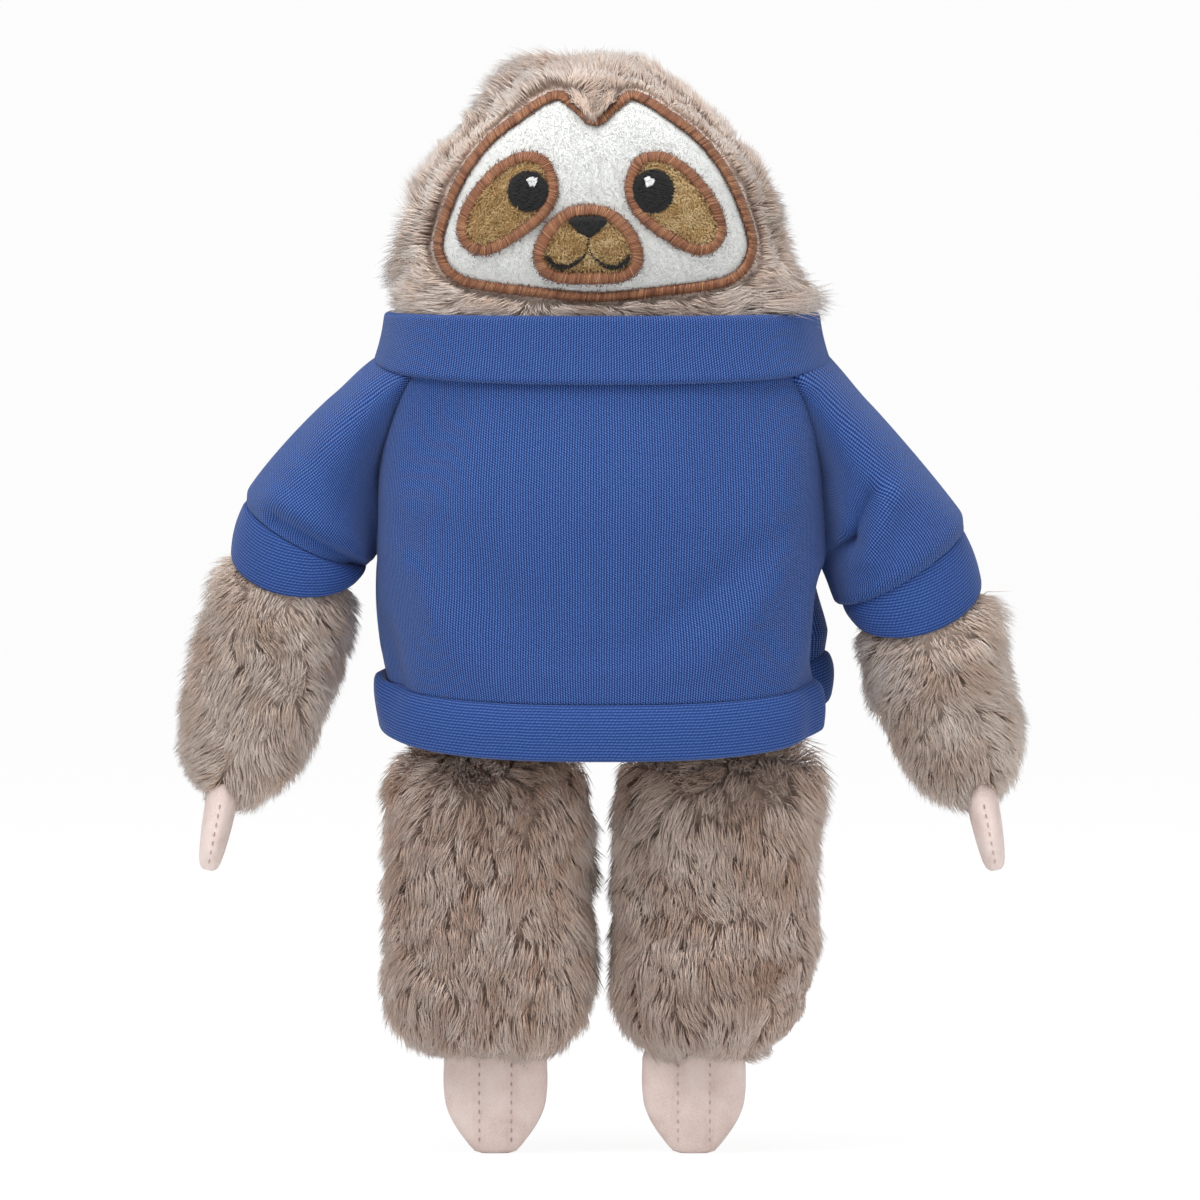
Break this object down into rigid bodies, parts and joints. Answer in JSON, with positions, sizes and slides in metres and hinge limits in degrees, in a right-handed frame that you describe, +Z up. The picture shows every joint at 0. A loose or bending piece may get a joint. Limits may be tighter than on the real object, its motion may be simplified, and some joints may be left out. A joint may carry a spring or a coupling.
{
  "type": "plush sloth in a knitted sweater",
  "caption": "Standing soft toy sloth with a flat embroidered face, long hanging arms, padded claws and feet, and a ribbed raglan sweater.",
  "frame": {"origin": "on the floor below the middle of the toy, centred on its width and depth", "axes": "+Z up along the toy's height; the toy faces -Y; its own right side is at -X"},
  "size_m": [0.2526, 0.0956, 0.3277],
  "materials": {
    "fur_grey_brown": "matte",
    "fur_brown": "matte",
    "stuffing": "matte",
    "white_minky": "matte",
    "tan_minky": "matte",
    "brown_stitching": "satin",
    "black_stitching": "satin",
    "white_stitching": "satin",
    "pink_velour": "matte",
    "blue_knit": "matte"
  },
  "bodies": {
    "torso": {"trunk_skin": "fur_brown", "trunk_stuffing": "stuffing", "head_skin": "fur_grey_brown", "head_stuffing": "stuffing", "face_border": "brown_stitching", "face_patch": "white_minky", "right_eye_border": "brown_stitching", "right_eye_patch": "tan_minky", "right_eye": "black_stitching", "right_eye_glint": "white_stitching", "left_eye_border": "brown_stitching", "left_eye_patch": "tan_minky", "left_eye": "black_stitching", "left_eye_glint": "white_stitching", "muzzle_border": "brown_stitching", "muzzle_patch": "tan_minky", "nose": "black_stitching", "mouth": "black_stitching", "front_panel": "blue_knit", "back_panel": "blue_knit", "collar_band": "blue_knit", "hem_band": "blue_knit"},
    "right_arm": {"right_arm_skin": "fur_grey_brown", "right_arm_stuffing": "stuffing", "right_cuff": "blue_knit", "right_sleeve": "blue_knit"},
    "right_claw": {"right_claw_pad": "pink_velour"},
    "right_leg": {"right_leg_skin": "fur_brown", "right_leg_stuffing": "stuffing"},
    "right_foot": {"right_foot_pad": "pink_velour"},
    "left_arm": {"left_arm_skin": "fur_grey_brown", "left_arm_stuffing": "stuffing", "left_cuff": "blue_knit", "left_sleeve": "blue_knit"},
    "left_claw": {"left_claw_pad": "pink_velour"},
    "left_leg": {"left_leg_skin": "fur_brown", "left_leg_stuffing": "stuffing"},
    "left_foot": {"left_foot_pad": "pink_velour"}
  },
  "joints": [
    {"name": "right_shoulder", "type": "hinge", "parent": "torso", "child": "right_arm", "pos_m": [-0.062, 0, 0.207], "axis": [0, 1, 0], "range_deg": [-2, 65], "deforming": ["right_sleeve"]},
    {"name": "right_claw_seam", "type": "hinge", "parent": "right_arm", "child": "right_claw", "pos_m": [-0.114, 0, 0.1068], "axis": [0, 1, 0], "range_deg": [-20, 20]},
    {"name": "right_hip", "type": "hinge", "parent": "torso", "child": "right_leg", "pos_m": [-0.034, 0, 0.097], "axis": [-1, 0, 0], "range_deg": [-30, 75]},
    {"name": "right_foot_seam", "type": "hinge", "parent": "right_leg", "child": "right_foot", "pos_m": [-0.032, 0, 0.0287], "axis": [-1, 0, 0], "range_deg": [-25, 25]},
    {"name": "left_shoulder", "type": "hinge", "parent": "torso", "child": "left_arm", "pos_m": [0.062, 0, 0.207], "axis": [0, -1, 0], "range_deg": [-2, 65], "deforming": ["left_sleeve"]},
    {"name": "left_claw_seam", "type": "hinge", "parent": "left_arm", "child": "left_claw", "pos_m": [0.114, 0, 0.1068], "axis": [0, -1, 0], "range_deg": [-20, 20]},
    {"name": "left_hip", "type": "hinge", "parent": "torso", "child": "left_leg", "pos_m": [0.034, 0, 0.097], "axis": [-1, 0, 0], "range_deg": [-30, 75]},
    {"name": "left_foot_seam", "type": "hinge", "parent": "left_leg", "child": "left_foot", "pos_m": [0.0276, 0, 0.0287], "axis": [-1, 0, 0], "range_deg": [-25, 25]}
  ]
}
